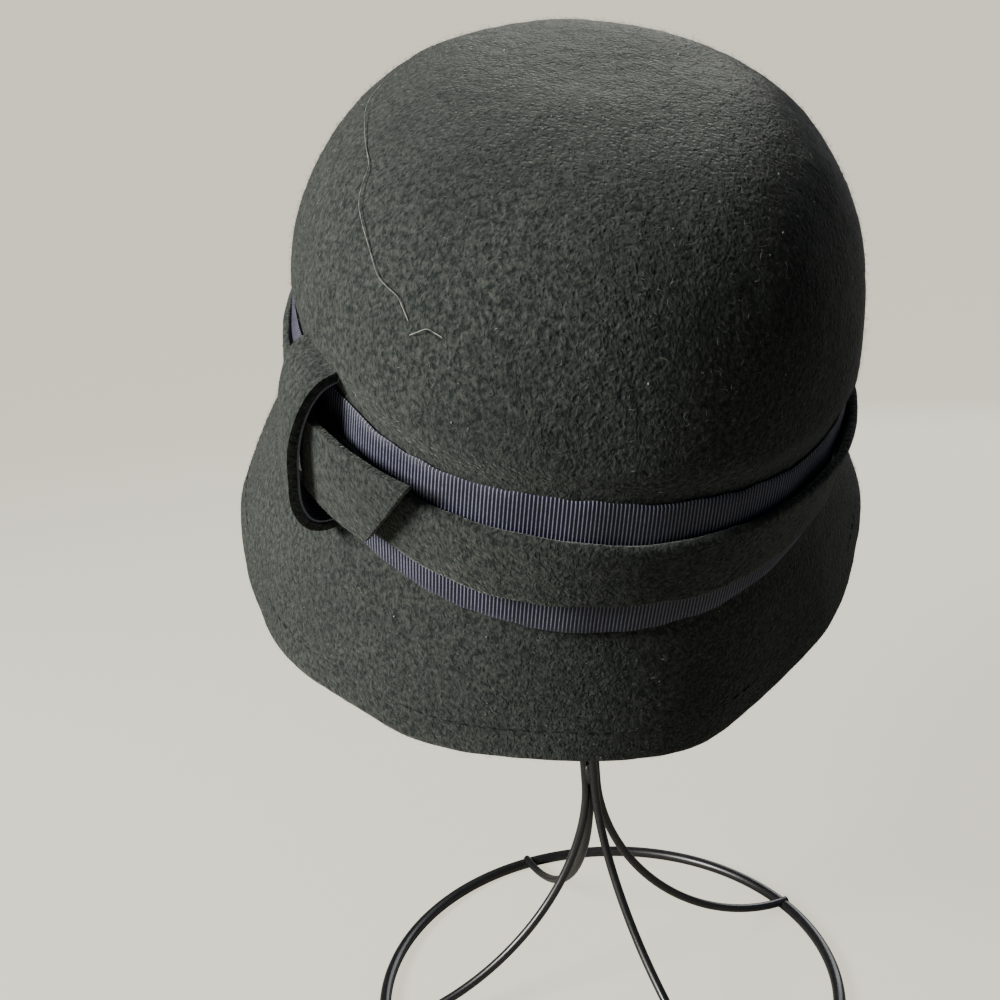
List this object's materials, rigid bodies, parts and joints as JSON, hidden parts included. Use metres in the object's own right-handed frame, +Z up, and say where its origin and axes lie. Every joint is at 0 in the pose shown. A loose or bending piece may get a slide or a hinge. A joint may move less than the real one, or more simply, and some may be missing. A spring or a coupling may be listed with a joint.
{
  "type": "cloche hat on a wire stand",
  "caption": "Felt cloche hat with a deep crown, short falling brim, ribbon and felt band with a side loop and tab, tipped forward on a round wire hat stand.",
  "frame": {"origin": "on the surface the stand rests on, under the middle of the whole box of hat and stand", "axes": "+Z up and along the longest extent, the front of the hat faces -Y, its loop and tab at the -X side"},
  "size_m": [0.2111, 0.2343, 0.3301],
  "materials": {
    "black_felt": "matt black wool felt with a short fuzzy nap",
    "navy_ribbon": "navy grosgrain ribbon with fine cross ribs and a low sheen",
    "black_wire": "satin black coated steel wire"
  },
  "bodies": {
    "root": {"felt_body": "black_felt", "ribbon_band": "navy_ribbon", "felt_band": "black_felt", "felt_loop": "black_felt", "loop_lining": "navy_ribbon", "felt_tab": "black_felt", "wire_stand": "black_wire"}
  },
  "joints": []
}
